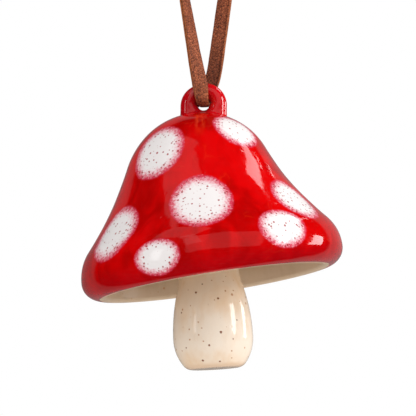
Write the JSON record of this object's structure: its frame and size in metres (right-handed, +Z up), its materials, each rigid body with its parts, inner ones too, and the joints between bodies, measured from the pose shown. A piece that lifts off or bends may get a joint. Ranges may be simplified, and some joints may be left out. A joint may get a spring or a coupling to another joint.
{
  "type": "ceramic mushroom ornament",
  "caption": "Hollow bell-capped ceramic mushroom with white spots on red glaze, an arched ring on the crown and a flat leather lace to hang it by.",
  "frame": {"origin": "inside top of the lace's loop, where a peg or hook bears", "axes": "+Z up in the hanging pose, +X to the right of a viewer who looks along +Y; the mushroom leans 8.8 degrees to the left in this pose"},
  "size_m": [0.0674, 0.068, 0.1307],
  "materials": {
    "red_glaze": "brushed red glaze, glossy",
    "white_glaze": "speckled white glaze, glossy",
    "cream_glazed_clay": "clear glaze on speckled cream clay",
    "brown_leather": "waxed flat lace with burnished edges"
  },
  "bodies": {
    "lace": {"lace_front_strand": "brown_leather", "lace_back_strand": "brown_leather", "lace_knot": "brown_leather", "lace_front_tail": "brown_leather", "lace_back_tail": "brown_leather"},
    "bight": {"lace_bight": "brown_leather"},
    "mushroom": {"cap_body": "cream_glazed_clay", "red_cap_glaze": "red_glaze", "white_spot_01": "white_glaze", "white_spot_02": "white_glaze", "white_spot_03": "white_glaze", "white_spot_04": "white_glaze", "white_spot_05": "white_glaze", "white_spot_06": "white_glaze", "white_spot_07": "white_glaze", "white_spot_08": "white_glaze", "white_spot_09": "white_glaze", "white_spot_10": "white_glaze", "white_spot_11": "white_glaze", "white_spot_12": "white_glaze", "white_spot_13": "white_glaze", "white_spot_14": "white_glaze", "white_spot_15": "white_glaze", "white_spot_16": "white_glaze", "hanging_ring": "red_glaze", "ring_luting_coil": "red_glaze", "stem": "cream_glazed_clay", "stem_luting_coil": "cream_glazed_clay"}
  },
  "joints": [
    {"name": "lace_side_bend", "type": "hinge", "parent": "lace", "child": "bight", "pos_m": [0, 0, -0.0471], "axis": [0, 1, 0], "range_deg": [-15, 15]},
    {"name": "ring_swing", "type": "hinge", "parent": "bight", "child": "mushroom", "pos_m": [0, 0, -0.0471], "axis": [1, 0, 0], "range_deg": [-45, 45]}
  ]
}
